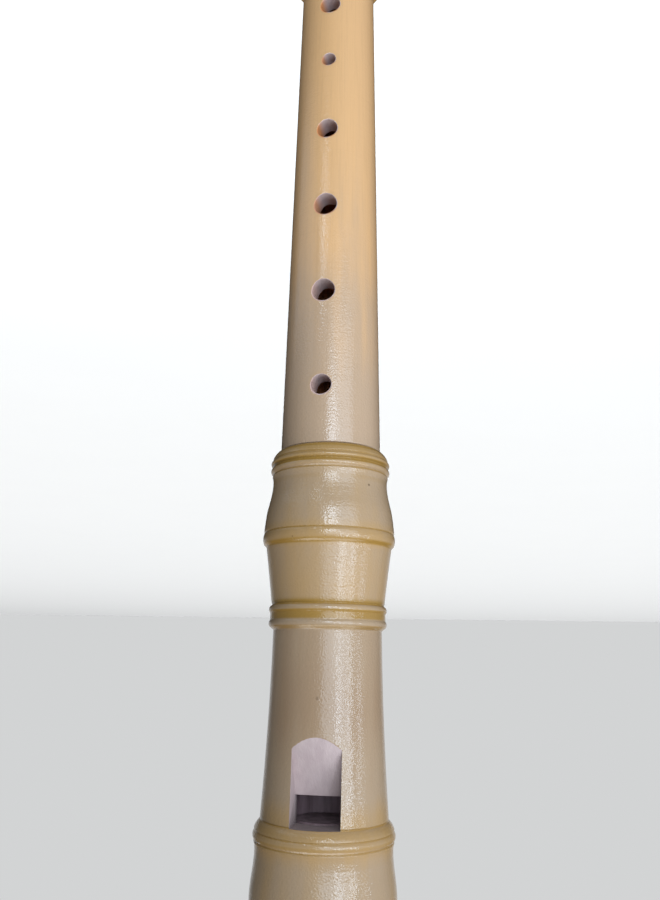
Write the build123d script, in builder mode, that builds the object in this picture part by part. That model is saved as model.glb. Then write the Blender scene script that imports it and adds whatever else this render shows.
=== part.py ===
from build123d import *
import math
import os

# Soprano recorder in turned wood, standing on its foot with its window facing -Y.
# Millimetres. Heights run up the Z axis from the foot's flat end.

# Overall sizes
foot_length = 72.0
middle_length = 133.4          # wood seen between the two sockets
head_length = 120.6

# Fits between the joints
seam_gap = 0.1                 # end face of a socket to the shoulder it meets
socket_floor_gap = 0.4
tenon_clearance = 0.15         # wooden tenon to socket, on the radius
cork_clearance = 0.05          # cork to socket, and cork to its seat, on the radius
cork_end_clearance = 0.1
block_clearance = 0.05         # block to head bore, on the radius
edge_break = 0.4               # small chamfer on the ends of the tenons

# How the joints are set on each other: degrees from -Y towards +X
middle_set_angle = 4.4
foot_set_angle = -8.0          # towards the player's right little finger

# Upper joint: middle into head
upper_tenon_length = 18.6
upper_cork_start = 4.6         # from the shoulder to the cork
upper_cork_length = 10.0
upper_cork_thickness = 0.9

# Lower joint: middle into foot
lower_tenon_length = 13.4
lower_cork_start = 3.4
lower_cork_length = 7.0
lower_cork_thickness = 0.75

# Bore radii, and the wood left under the corks
head_bore_radius = 6.8
middle_bore_top_radius = 6.25
middle_bore_bottom_radius = 4.9
tenon_wall = 1.6
foot_bore_radius = 4.75
exit_bore_radius = 5.1
exit_bore_length = 14.0

# Voicing
labium_height = 73.6           # from the head's socket end to the blowing edge
cut_up = 5.5                   # from the blowing edge to the windway's mouth
window_width = 10.3
labium_edge_thickness = 0.2
labium_arch = 0.3              # how much lower the blowing edge is at its ends
undercut_length = 8.0
undercut_fade = 0.3            # how far the undercut drops inside the bore wall at its far end
undercut_corner_drop = 0.2     # the same at its corners
ramp_slope = 0.482             # rise of the ramp for each millimetre from the blowing edge
ramp_hollow = 0.55             # how much deeper the ramp's cut is in the middle, outside the wood
windway_height = 1.1           # roof above the bore's wall
block_chamfer = 0.6

# Turned outline of the head's socket end: radii, and heights above the socket end
end_face_radius = 11.9
end_ovolo_radius = 13.4
end_ovolo_height = 1.9
end_bead_rise = 0.38
end_bead_heights = [1.1, 1.4]
neck_radius = 13.18
neck_height = 7.8
neck_lead_in = (-0.3, 1)       # direction in which the curve leaves the bead
swell_radius = 14.22
swell_height = 13.6
bulge_radius = 14.9
bulge_height = 18.9
bulge_lead_out = (0.1, 1)
bulge_bead_rise = 0.16
bulge_bead_height = 2.3
bulge_bead_fall = 0.1          # upper edge of the bead, inside the lower
bulge_groove_depth = 0.65
flare_end_radius = 12.68
flare_end_height = 34.7
double_bead_rise = 0.3
double_bead_height = 1.6
double_bead_gap = 1.6
double_bead_floor_rise = 0.22
barrel_low_radius = 12.1
barrel_middle_radius = 12.58
barrel_top_radius = 13.6

# Turned outline of the head's beak end: radii, and heights above the blowing edge
cheek_step_radius = 13.7
cheek_step_height = 5.65
cheek_ovolo_radius = 14.8
cheek_ovolo_height = 1.6
cheek_bead_rise = 0.25
cheek_bead_height = 1.5
cheek_lead_in = (-0.5, 1)
cheek_neck_radius = 14.55
cheek_neck_height = 11.2
cheek_radius = 15.35
cheek_height = 21.0
beak_side_radius = 14.35
beak_tip_radius = 10.9
beak_tip_round = 0.9

# Beak: the hollow cut away behind the mouthpiece
beak_cut_length = 29.0
beak_cut_start = 1.0           # outside the widest wood
beak_cut_depth = 3.5           # how hollow the cut is, across its chord
beak_lip_back = 2.4            # lip's back edge, forward of the axis

# Middle joint
middle_top_radius = 11.62
middle_bottom_radius = 9.52
shoulder_round = 0.35

# Holes: how far each centre is from the blowing edge, and its radius
thumb_hole_distance = 84.2
thumb_hole_radius = 2.7
finger_hole_distances = [87.4, 110.8, 133.5, 154.7, 175.1, 192.2]
finger_hole_radii = [2.35, 2.7, 2.75, 2.5, 1.7, 2.5]
little_finger_hole_drop = 17.0     # below the foot's socket end
little_finger_hole_radius = 2.3

# Turned outline of the foot: radii, and drops below its socket end
foot_face_radius = 10.9
foot_ring_rise = 0.65
foot_ring_height = 5.2
foot_neck_radius = 12.3
foot_bulge_radius = 13.75
foot_bulge_drop = 11.0
foot_bulge_bead_height = 2.3
foot_bulge_bead_rise = 0.25
foot_bulge_lead_in = (-0.1, 1)
foot_groove_depth = 0.55
foot_groove_lead_in = (0.25, 1)
foot_waist_radius = 9.9
foot_waist_drop = 41.0
foot_ring_pair_drop = 50.0
foot_ring_pair_rise = 0.8
foot_ring_pair_height = 1.5
bell_start_radius = 10.3
bell_swell = 0.5               # how far the bell has opened halfway down
bell_end_radius = 12.2
bell_ring_height = 5.4
bell_ring_rise = 0.8
bell_face_radius = 12.5

# Fine turned lines, and how full a quarter round is
line_width = 0.5
line_depth = 0.2
ovolo_out = 0.58
ovolo_up = 0.42

# Heights that follow from the sizes above
foot_top = foot_length
head_base = foot_length + middle_length
head_top = head_base + head_length
labium_z = head_base + labium_height
window_top = labium_z + cut_up
shoulder_top = head_base - seam_gap
shoulder_bottom = foot_top + seam_gap
upper_tenon_end = head_base + upper_tenon_length
lower_tenon_end = foot_top - lower_tenon_length
upper_cork_low = head_base + upper_cork_start
lower_cork_high = foot_top - lower_cork_start

# Radii that follow: each joint is built outwards from its bore
upper_seat_radius = middle_bore_top_radius + tenon_wall
lower_seat_radius = middle_bore_bottom_radius + tenon_wall
upper_cork_radius = upper_seat_radius + upper_cork_thickness
lower_cork_radius = lower_seat_radius + lower_cork_thickness
upper_socket_radius = upper_cork_radius + cork_clearance
lower_socket_radius = lower_cork_radius + cork_clearance
upper_tenon_radius = upper_socket_radius - tenon_clearance
lower_tenon_radius = lower_socket_radius - tenon_clearance
windway_roof_radius = head_bore_radius + windway_height
labium_radius = head_bore_radius + labium_edge_thickness
window_half = window_width / 2
bore_beside_window = math.sqrt(head_bore_radius ** 2 - window_half ** 2)
reach = 2 * cheek_radius       # longer than any cut needs

os.makedirs("parts", exist_ok=True)


def turned_line(radius, low):
    """A fine V cut by the point of a tool, from one height up, at one radius."""
    Polyline((radius, low), (radius - line_depth, low + line_width / 2), (radius, low + line_width))


def bead(low_radius, low, rise, high_radius, high):
    """A rounded ring between two heights, standing out from the larger of its edges."""
    crest_radius = max(low_radius, high_radius) + rise
    ThreePointArc((low_radius, low), (crest_radius, (low + high) / 2), (high_radius, high))


def ovolo(inner_radius, low, outer_radius, high):
    """A quarter round that swells from one radius to a larger one."""
    full_radius = inner_radius + (outer_radius - inner_radius) * ovolo_out
    ThreePointArc((inner_radius, low), (full_radius, low + (high - low) * ovolo_up), (outer_radius, high))


def wall_outline(floor_middle, floor_end, outer):
    """A window-wide outline in the wall, with an arched floor that faces the axis."""
    ThreePointArc((-window_half, -floor_end), (0, -floor_middle), (window_half, -floor_end))
    Polyline(
        (window_half, -floor_end), (window_half, -outer),
        (-window_half, -outer), (-window_half, -floor_end),
    )


def undercut_outline(roof_middle, roof_end):
    """A window-wide outline inside the bore, with an arched roof under the blowing edge."""
    ThreePointArc((-window_half, -roof_end), (0, -roof_middle), (window_half, -roof_end))
    Polyline((window_half, -roof_end), (window_half, 0), (-window_half, 0), (-window_half, -roof_end))


# The hollow behind the mouthpiece, taken from the head and the block alike
beak_back = Vector(cheek_radius + beak_cut_start, head_top - beak_cut_length)
beak_lip = Vector(-beak_lip_back, head_top)
beak_chord = (beak_lip - beak_back).normalized()
beak_middle = (beak_back + beak_lip) / 2 + beak_chord.rotate(Axis.Z, 90) * beak_cut_depth
with BuildPart() as beak_hollow:
    with BuildSketch(Plane.YZ):
        with BuildLine():
            ThreePointArc(beak_back, beak_middle, beak_lip)
            Polyline(
                beak_lip, (-beak_lip_back, head_top + reach),
                (reach, head_top + reach), (reach, beak_back.Y), beak_back,
            )
        make_face()
    extrude(amount=reach, both=True)


# Head joint: socket, window, windway and beak
with BuildPart() as head_joint:
    end_ovolo_high = head_base + end_ovolo_height
    end_bead_low = end_ovolo_high + line_width
    end_bead_split = end_bead_low + end_bead_heights[0]
    end_bead_high = end_bead_split + line_width + end_bead_heights[1]
    bulge_high = head_base + bulge_height
    bulge_bead_low = bulge_high + line_width
    bulge_bead_high = bulge_bead_low + bulge_bead_height
    bulge_bead_edge = bulge_radius - bulge_bead_fall
    groove_bottom = bulge_radius - bulge_groove_depth
    groove_bottom_height = bulge_bead_high + line_width
    flare_end = head_base + flare_end_height
    pair_floor = flare_end_radius + double_bead_floor_rise
    pair_low = flare_end + line_width
    groove_low = pair_low + double_bead_height
    groove_high = groove_low + double_bead_gap
    pair_high = groove_high + double_bead_height
    barrel_low = pair_high + line_width
    barrel_high = labium_z + cheek_step_height - line_width
    step = labium_z + cheek_step_height
    cheek_bead_low = step + cheek_ovolo_height + line_width
    cheek_bead_high = cheek_bead_low + cheek_bead_height
    cheek_neck = labium_z + cheek_neck_height
    cheek = labium_z + cheek_height
    tip_edge = head_top - beak_tip_round
    with BuildSketch(Plane.XZ):
        with BuildLine():
            Line((0, head_base), (end_face_radius, head_base))
            ovolo(end_face_radius, head_base, end_ovolo_radius, end_ovolo_high)
            turned_line(end_ovolo_radius, end_ovolo_high)
            bead(end_ovolo_radius, end_bead_low, end_bead_rise, end_ovolo_radius, end_bead_split)
            turned_line(end_ovolo_radius, end_bead_split)
            bead(
                end_ovolo_radius, end_bead_split + line_width,
                end_bead_rise, end_ovolo_radius, end_bead_high,
            )
            turned_line(end_ovolo_radius, end_bead_high)
            Spline(
                (end_ovolo_radius, end_bead_high + line_width),
                (neck_radius, head_base + neck_height),
                (swell_radius, head_base + swell_height),
                (bulge_radius, bulge_high),
                tangents=(neck_lead_in, bulge_lead_out),
            )
            turned_line(bulge_radius, bulge_high)
            bead(bulge_radius, bulge_bead_low, bulge_bead_rise, bulge_bead_edge, bulge_bead_high)
            Line((bulge_bead_edge, bulge_bead_high), (groove_bottom, groove_bottom_height))
            ThreePointArc(
                (groove_bottom, groove_bottom_height),
                ((groove_bottom + flare_end_radius) / 2, (bulge_bead_high + flare_end) / 2),
                (flare_end_radius, flare_end),
            )
            turned_line(flare_end_radius, flare_end)
            bead(flare_end_radius, pair_low, double_bead_rise, pair_floor, groove_low)
            Line((pair_floor, groove_low), (pair_floor, groove_high))
            bead(pair_floor, groove_high, double_bead_rise, flare_end_radius, pair_high)
            Line((flare_end_radius, pair_high), (barrel_low_radius, barrel_low))
            ThreePointArc(
                (barrel_low_radius, barrel_low),
                (barrel_middle_radius, (barrel_low + barrel_high) / 2),
                (barrel_top_radius, barrel_high),
            )
            turned_line(barrel_top_radius, barrel_high)
            Line((barrel_top_radius, step), (cheek_step_radius, step))
            ovolo(cheek_step_radius, step, cheek_ovolo_radius, step + cheek_ovolo_height)
            turned_line(cheek_ovolo_radius, step + cheek_ovolo_height)
            bead(cheek_ovolo_radius, cheek_bead_low, cheek_bead_rise, cheek_ovolo_radius, cheek_bead_high)
            turned_line(cheek_ovolo_radius, cheek_bead_high)
            Spline(
                (cheek_ovolo_radius, cheek_bead_high + line_width),
                (cheek_neck_radius, cheek_neck),
                (cheek_radius, cheek),
                tangents=(cheek_lead_in, (0, 1)),
            )
            ThreePointArc(
                (cheek_radius, cheek),
                (beak_side_radius, (cheek + tip_edge) / 2),
                (beak_tip_radius, tip_edge),
            )
            Line((beak_tip_radius, tip_edge), (beak_tip_radius - beak_tip_round, head_top))
            Line((beak_tip_radius - beak_tip_round, head_top), (0, head_top))
            Line((0, head_top), (0, head_base))
        make_face()
    revolve(axis=Axis.Z)
    # bore and socket
    with BuildSketch(Plane.XY.offset(head_base)):
        Circle(head_bore_radius)
    extrude(amount=head_length, mode=Mode.SUBTRACT)
    with BuildSketch(Plane.XY.offset(head_base)):
        Circle(upper_socket_radius)
    extrude(amount=upper_tenon_length + socket_floor_gap, mode=Mode.SUBTRACT)
    # windway channel, above the block
    with BuildSketch(Plane.XY.offset(window_top - seam_gap)):
        Circle(windway_roof_radius)
        Rectangle(window_width, reach, align=(Align.CENTER, Align.MAX), mode=Mode.INTERSECT)
    extrude(amount=head_length, mode=Mode.SUBTRACT)
    # window
    with BuildSketch(Plane.XY.offset(labium_z)):
        with Locations((0, undercut_corner_drop - bore_beside_window)):
            Rectangle(window_width, reach, align=(Align.CENTER, Align.MAX))
    extrude(amount=cut_up, mode=Mode.SUBTRACT)
    # ramp, cut until it is outside the widest wood
    ramp_cut_length = (cheek_radius - labium_radius) / ramp_slope
    with BuildSketch(Plane.XY.offset(labium_z)):
        with BuildLine():
            wall_outline(labium_radius, labium_radius - labium_arch, reach)
        make_face()
    with BuildSketch(Plane.XY.offset(labium_z - ramp_cut_length)):
        with BuildLine():
            wall_outline(cheek_radius, cheek_radius + ramp_hollow, reach)
        make_face()
    loft(mode=Mode.SUBTRACT)
    # undercut below the blowing edge
    with BuildSketch(Plane.XY.offset(labium_z)):
        with BuildLine():
            undercut_outline(head_bore_radius, head_bore_radius - labium_arch)
        make_face()
    with BuildSketch(Plane.XY.offset(labium_z - undercut_length)):
        with BuildLine():
            undercut_outline(head_bore_radius - undercut_fade, bore_beside_window - undercut_corner_drop)
        make_face()
    loft(mode=Mode.SUBTRACT)
    add(beak_hollow.part, mode=Mode.SUBTRACT)
head_joint.part.label = "head_joint"
export_step(head_joint.part, "parts/head_joint.step")

# Block: the plug that forms the windway's floor
with BuildPart() as block:
    with BuildSketch(Plane.XY.offset(window_top)):
        Circle(head_bore_radius - block_clearance)
    extrude(amount=head_top - window_top)
    add(beak_hollow.part, mode=Mode.SUBTRACT)
    chamfer(block.edges().group_by(Axis.Z)[0], length=block_chamfer)
block.part.label = "block"
export_step(block.part, "parts/block.step")

# Middle joint: tapered body with a tenon at each end
with BuildPart() as middle_joint:
    with BuildSketch(Plane.XZ):
        with BuildLine():
            Polyline(
                (0, lower_tenon_end),
                (lower_tenon_radius - edge_break, lower_tenon_end),
                (lower_tenon_radius, lower_tenon_end + edge_break),
                (lower_tenon_radius, lower_cork_high - lower_cork_length),
                (lower_seat_radius, lower_cork_high - lower_cork_length),
                (lower_seat_radius, lower_cork_high),
                (lower_tenon_radius, lower_cork_high),
                (lower_tenon_radius, shoulder_bottom),
                (middle_bottom_radius, shoulder_bottom),
                (middle_top_radius, shoulder_top),
                (upper_tenon_radius, shoulder_top),
                (upper_tenon_radius, upper_cork_low),
                (upper_seat_radius, upper_cork_low),
                (upper_seat_radius, upper_cork_low + upper_cork_length),
                (upper_tenon_radius, upper_cork_low + upper_cork_length),
                (upper_tenon_radius, upper_tenon_end - edge_break),
                (upper_tenon_radius - edge_break, upper_tenon_end),
                (0, upper_tenon_end),
                close=True,
            )
        make_face()
    revolve(axis=Axis.Z)
    shoulders = middle_joint.edges().filter_by(GeomType.CIRCLE).sort_by(SortBy.RADIUS)[-2:]
    fillet(shoulders, radius=shoulder_round)
    with BuildSketch(Plane.XY.offset(lower_tenon_end)):
        Circle(middle_bore_bottom_radius)
    with BuildSketch(Plane.XY.offset(upper_tenon_end)):
        Circle(middle_bore_top_radius)
    loft(mode=Mode.SUBTRACT)
    hole_plane = Plane.XZ.rotated((0, 0, middle_set_angle))
    with BuildSketch(hole_plane):
        for distance, radius in zip(finger_hole_distances, finger_hole_radii):
            with Locations((0, labium_z - distance)):
                Circle(radius)
    extrude(amount=reach, mode=Mode.SUBTRACT)
    with BuildSketch(hole_plane):
        with Locations((0, labium_z - thumb_hole_distance)):
            Circle(thumb_hole_radius)
    extrude(amount=-reach, mode=Mode.SUBTRACT)
middle_joint.part.label = "middle_joint"
export_step(middle_joint.part, "parts/middle_joint.step")

# Foot joint: socket, little finger hole and bell
with BuildPart() as foot_joint:
    ring_low = foot_top - foot_ring_height
    foot_bulge = foot_top - foot_bulge_drop
    foot_bulge_low = foot_bulge - foot_bulge_bead_height
    waist = foot_top - foot_waist_drop
    pair_top = foot_top - foot_ring_pair_drop
    pair_middle = pair_top - foot_ring_pair_height
    pair_bottom = pair_middle - line_width - foot_ring_pair_height
    bell_start = pair_bottom - line_width
    foot_groove_radius = foot_bulge_radius - foot_groove_depth
    with BuildSketch(Plane.XZ):
        with BuildLine():
            Line((0, 0), (bell_face_radius, 0))
            bead(bell_face_radius, 0, bell_ring_rise, bell_end_radius, bell_ring_height)
            turned_line(bell_end_radius, bell_ring_height)
            ThreePointArc(
                (bell_end_radius, bell_ring_height + line_width),
                (bell_start_radius + bell_swell, (bell_ring_height + pair_top) / 2),
                (bell_start_radius, bell_start),
            )
            turned_line(bell_start_radius, bell_start)
            bead(
                bell_start_radius, pair_bottom,
                foot_ring_pair_rise, bell_start_radius, pair_middle - line_width,
            )
            turned_line(bell_start_radius, pair_middle - line_width)
            bead(bell_start_radius, pair_middle, foot_ring_pair_rise, bell_start_radius, pair_top)
            Spline(
                (bell_start_radius, pair_top),
                (foot_waist_radius, waist),
                (foot_groove_radius, foot_bulge_low - line_width),
                tangents=(foot_bulge_lead_in, foot_groove_lead_in),
            )
            Line((foot_groove_radius, foot_bulge_low - line_width), (foot_bulge_radius, foot_bulge_low))
            bead(foot_bulge_radius, foot_bulge_low, foot_bulge_bead_rise, foot_bulge_radius, foot_bulge)
            Spline(
                (foot_bulge_radius, foot_bulge),
                (foot_neck_radius, ring_low - line_width),
                tangents=(foot_bulge_lead_in, (0, 1)),
            )
            turned_line(foot_neck_radius, ring_low - line_width)
            bead(foot_neck_radius, ring_low, foot_ring_rise, foot_face_radius, foot_top)
            Line((foot_face_radius, foot_top), (0, foot_top))
            Line((0, foot_top), (0, 0))
        make_face()
    revolve(axis=Axis.Z)
    with BuildSketch(Plane.XY):
        Circle(foot_bore_radius)
    extrude(amount=foot_length, mode=Mode.SUBTRACT)
    with BuildSketch(Plane.XY):
        Circle(exit_bore_radius)
    extrude(amount=exit_bore_length, mode=Mode.SUBTRACT)
    with BuildSketch(Plane.XY.offset(foot_top)):
        Circle(lower_socket_radius)
    extrude(amount=-lower_tenon_length - socket_floor_gap, mode=Mode.SUBTRACT)
    with BuildSketch(Plane.XZ.rotated((0, 0, foot_set_angle))):
        with Locations((0, foot_top - little_finger_hole_drop)):
            Circle(little_finger_hole_radius)
    extrude(amount=reach, mode=Mode.SUBTRACT)
foot_joint.part.label = "foot_joint"
export_step(foot_joint.part, "parts/foot_joint.step")

# Cork rings on the two tenons
with BuildPart() as upper_tenon_cork:
    with BuildSketch(Plane.XY.offset(upper_cork_low + cork_end_clearance)):
        Circle(upper_cork_radius)
        Circle(upper_seat_radius + cork_clearance, mode=Mode.SUBTRACT)
    extrude(amount=upper_cork_length - 2 * cork_end_clearance)
upper_tenon_cork.part.label = "upper_tenon_cork"
export_step(upper_tenon_cork.part, "parts/upper_tenon_cork.step")

with BuildPart() as lower_tenon_cork:
    with BuildSketch(Plane.XY.offset(lower_cork_high - cork_end_clearance)):
        Circle(lower_cork_radius)
        Circle(lower_seat_radius + cork_clearance, mode=Mode.SUBTRACT)
    extrude(amount=2 * cork_end_clearance - lower_cork_length)
lower_tenon_cork.part.label = "lower_tenon_cork"
export_step(lower_tenon_cork.part, "parts/lower_tenon_cork.step")
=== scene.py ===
import math

import bmesh
import bpy
from mathutils import Matrix, Vector, noise
from mathutils.bvhtree import BVHTree


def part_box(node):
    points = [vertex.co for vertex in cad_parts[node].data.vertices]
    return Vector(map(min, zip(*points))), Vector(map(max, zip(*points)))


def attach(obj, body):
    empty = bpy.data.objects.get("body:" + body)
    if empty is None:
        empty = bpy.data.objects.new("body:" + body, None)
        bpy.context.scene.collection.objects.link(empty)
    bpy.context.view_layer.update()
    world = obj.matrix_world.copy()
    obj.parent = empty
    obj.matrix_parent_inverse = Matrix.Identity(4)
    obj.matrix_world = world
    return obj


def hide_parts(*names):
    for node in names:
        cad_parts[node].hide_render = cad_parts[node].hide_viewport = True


bl_info = {
    "name": "Soprano Recorder",
    "version": (1, 0, 0),
    "blender": (4, 5, 0),
    "location": "3D View > Sidebar > Recorder",
    "description": "Turns a varnished wooden soprano recorder around its packed joints",
    "category": "Add Mesh",
}

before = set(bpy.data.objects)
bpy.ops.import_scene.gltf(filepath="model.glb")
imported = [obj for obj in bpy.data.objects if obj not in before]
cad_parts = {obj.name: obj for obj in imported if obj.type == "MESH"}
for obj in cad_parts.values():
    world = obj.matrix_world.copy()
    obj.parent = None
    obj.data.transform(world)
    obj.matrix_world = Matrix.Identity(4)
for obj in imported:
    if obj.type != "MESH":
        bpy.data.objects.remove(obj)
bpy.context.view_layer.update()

MM = 0.001
CLEAR_SIDE = math.radians(75)      # turn from -Y towards +X that is clear of window and holes
OUTSIDE = 0.04                     # farther from the axis than any wood


# Shapes worked out from the frame

def walls(node):
    """A tree for casting rays at a CAD node."""
    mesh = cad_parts[node].data
    points = [vertex.co for vertex in mesh.vertices]
    return BVHTree.FromPolygons(points, [face.vertices for face in mesh.polygons])


def wall_radius(tree, height, from_inside):
    """Distance from the axis to the wall at one height, on the clear side."""
    out = Vector((math.sin(CLEAR_SIDE), -math.cos(CLEAR_SIDE), 0))
    axis_point = Vector((0, 0, height))
    if from_inside:
        hit = tree.ray_cast(axis_point, out)[0]
    else:
        hit = tree.ray_cast(axis_point + out * OUTSIDE, -out)[0]
    return None if hit is None else math.hypot(hit.x, hit.y)


def measured_outline(node, from_inside, step):
    """(radius, height) pairs up a CAD node's wall, measured just inside its two ends."""
    tree = walls(node)
    low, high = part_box(node)
    margin = 0.004 * MM
    count = round((high.z - low.z) / step)
    outline = []
    for index in range(count + 1):
        height = low.z + (high.z - low.z) * index / count
        inside = min(max(height, low.z + margin), high.z - margin)
        radius = wall_radius(tree, inside, from_inside)
        if radius is not None:
            outline.append((radius, height))
    return outline


def eased(outline, reach):
    """The outline with its corners softened as a film of varnish does, ends left as they are."""
    step = outline[1][1] - outline[0][1]
    span = max(1, round(2 * reach / step))
    weights = [math.exp(-0.5 * (offset * step / reach) ** 2) for offset in range(-span, span + 1)]
    last = len(outline) - 1
    softened = []
    for index, (_, height) in enumerate(outline):
        room = min(span, index, last - index)
        total = 0.0
        share = 0.0
        for offset in range(-room, room + 1):
            weight = weights[offset + span]
            total += weight * outline[index + offset][0]
            share += weight
        softened.append((total / share, height))
    return softened


def thinned(outline, tolerance, longest):
    """As few points as keep the outline's shape, none farther apart than the longest run."""
    keep = {0, len(outline) - 1}
    stack = [(0, len(outline) - 1)]
    while stack:
        first, last = stack.pop()
        r0, z0 = outline[first]
        r1, z1 = outline[last]
        length = math.hypot(r1 - r0, z1 - z0)
        worst = 0.0
        place = None
        for index in range(first + 1, last):
            r, z = outline[index]
            off = abs((r1 - r0) * (z - z0) - (z1 - z0) * (r - r0)) / length
            if off > worst:
                worst = off
                place = index
        if place is not None and (worst > tolerance or length > longest):
            if worst <= tolerance:
                place = (first + last) // 2
            keep.add(place)
            stack += [(first, place), (place, last)]
    return [outline[index] for index in sorted(keep)]


def pooled_depth(outline, reach):
    """How far each height lies below the high places around it, for varnish that gathers there."""
    blur = 0.12 * MM
    step = outline[1][1] - outline[0][1]
    span = round(reach / step)
    radii = [radius for radius, _ in outline]
    raised = [max(radii[max(0, i - span):i + span + 1]) for i in range(len(radii))]
    closed = [min(raised[max(0, i - span):i + span + 1]) for i in range(len(radii))]
    depths = [(high - radius, height) for (radius, height), high in zip(outline, closed)]
    return [(height, depth) for depth, height in eased(depths, blur)]


def rounded_end(corner, towards_outer, towards_inner, radius):
    """Three points that round the edge between an end face and a wall."""
    wall = corner + towards_outer * radius
    face = corner + towards_inner * radius
    centre = wall + towards_inner * radius
    middle = centre + (corner - centre).normalized() * radius
    return [wall, middle, face]


def turned_mesh(name, outer, inner, columns, wobble):
    """A closed tube from its outer and inner outlines, outer wall first in the material list."""
    outer_points = [Vector((r, z)) for r, z in outer]
    inner_points = [Vector((r, z)) for r, z in inner]
    up = Vector((0, 1))
    inwards = Vector((-1, 0))
    edge = 0.12 * MM
    corner = 3                     # points that rounded_end gives for one end point
    ring = (
        rounded_end(outer_points[0], up, inwards, edge)[::-1]
        + outer_points[1:-1]
        + rounded_end(outer_points[-1], -up, inwards, edge)
        + rounded_end(inner_points[-1], -up, -inwards, edge)[::-1]
        + inner_points[-2:0:-1]
        + rounded_end(inner_points[0], up, -inwards, edge)
    )
    outer_count = len(outer_points) + 2 * (corner - 1)
    mesh = bpy.data.meshes.new(name)
    build = bmesh.new()
    rows = []
    for place, (radius, height) in enumerate(ring):
        row = []
        for column in range(columns):
            turn = 2 * math.pi * column / columns
            swell = wobble(turn, height) if corner <= place < outer_count - corner else 0.0
            reach = radius + swell
            row.append(build.verts.new((reach * math.cos(turn), reach * math.sin(turn), height)))
        rows.append(row)
    for place, row in enumerate(rows):
        above = rows[(place + 1) % len(rows)]
        for column in range(columns):
            beside = (column + 1) % columns
            face = build.faces.new((row[column], row[beside], above[beside], above[column]))
            face.material_index = 0 if place < outer_count - 1 else 1
            face.smooth = True
    build.normal_update()
    build.to_mesh(mesh)
    build.free()
    return mesh


def lofted_mesh(name, sections):
    """A closed solid through sections that have the same number of points."""
    mesh = bpy.data.meshes.new(name)
    build = bmesh.new()
    rows = [[build.verts.new(point) for point in section] for section in sections]
    count = len(rows[0])
    for low, high in zip(rows, rows[1:]):
        for index in range(count):
            beside = (index + 1) % count
            build.faces.new((low[index], low[beside], high[beside], high[index]))
    build.faces.new(rows[0][::-1])
    build.faces.new(rows[-1])
    bmesh.ops.recalc_face_normals(build, faces=build.faces)
    for face in build.faces:
        face.smooth = True
    build.to_mesh(mesh)
    build.free()
    return mesh


def placed(name, mesh, materials):
    """An object in the scene with its materials in order."""
    piece = bpy.data.objects.new(name, mesh)
    bpy.context.scene.collection.objects.link(piece)
    for material in materials:
        mesh.materials.append(material)
    return piece


def cut(piece, cutter_mesh, material):
    """Takes a solid out of a piece and gives the new faces a material."""
    cutter = placed("cutter", cutter_mesh, [material])
    step = piece.modifiers.new("cut", "BOOLEAN")
    step.operation = "DIFFERENCE"
    step.solver = "MANIFOLD"
    step.object = cutter
    step.material_mode = "TRANSFER"
    bpy.context.view_layer.update()
    graph = bpy.context.evaluated_depsgraph_get()
    made = bpy.data.meshes.new_from_object(piece.evaluated_get(graph))
    piece.modifiers.clear()
    old = piece.data
    made.name = old.name
    piece.data = made
    bpy.data.objects.remove(cutter)
    if len(made.polygons) == 0:
        raise RuntimeError("cutting " + piece.name + " left nothing")


def arc(centre, radius, start, end, count):
    """Points on an arc, angles in radians."""
    return [
        (centre[0] + radius * math.cos(start + (end - start) * i / count),
         centre[1] + radius * math.sin(start + (end - start) * i / count))
        for i in range(count + 1)
    ]


def hole_cutter(height, radius, outer_radius, turn, rim):
    """A tone hole's shape: a straight wall with a rim rounded over into the curved outside."""
    points_round = 48
    rim_steps = 5
    flare = rim * 1.5              # how far the cutter spreads once it is past the outside
    clear = 3 * MM                 # how far it reaches outside the wood

    def section(spread, lift):
        """A ring that follows the outside, or one on the axis where there is no lift."""
        points = []
        for i in range(points_round):
            angle = 2 * math.pi * i / points_round
            across = (radius + spread) * math.cos(angle)
            along = (radius + spread) * math.sin(angle)
            depth = 0.0
            if lift is not None:
                depth = math.sqrt(max(outer_radius ** 2 - across ** 2, 0)) + lift
            x = across * math.cos(turn) + depth * math.sin(turn)
            y = across * math.sin(turn) - depth * math.cos(turn)
            points.append((x, y, height + along))
        return points

    sections = [section(0, None), section(0, -rim)]
    for i in range(1, rim_steps + 1):
        angle = math.pi / 2 * i / rim_steps
        sections.append(section(rim * (1 - math.cos(angle)), rim * (math.sin(angle) - 1)))
    sections.append(section(flare, rim * 0.25))
    sections.append(section(flare, clear))
    return lofted_mesh("tone hole", sections)


# Material nodes

class Link:
    """A socket in a material's node tree. Arithmetic on numbers adds Math nodes."""

    def __init__(self, finish, socket):
        self.finish = finish
        self.socket = socket

    def _math(self, operation, first, second):
        return self.finish.add("ShaderNodeMath", {"operation": operation}, {0: first, 1: second})

    def __add__(self, other):
        return self._math("ADD", self, other)

    __radd__ = __add__

    def __sub__(self, other):
        return self._math("SUBTRACT", self, other)

    def __rsub__(self, other):
        return self._math("SUBTRACT", other, self)

    def __mul__(self, other):
        return self._math("MULTIPLY", self, other)

    __rmul__ = __mul__


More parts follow.
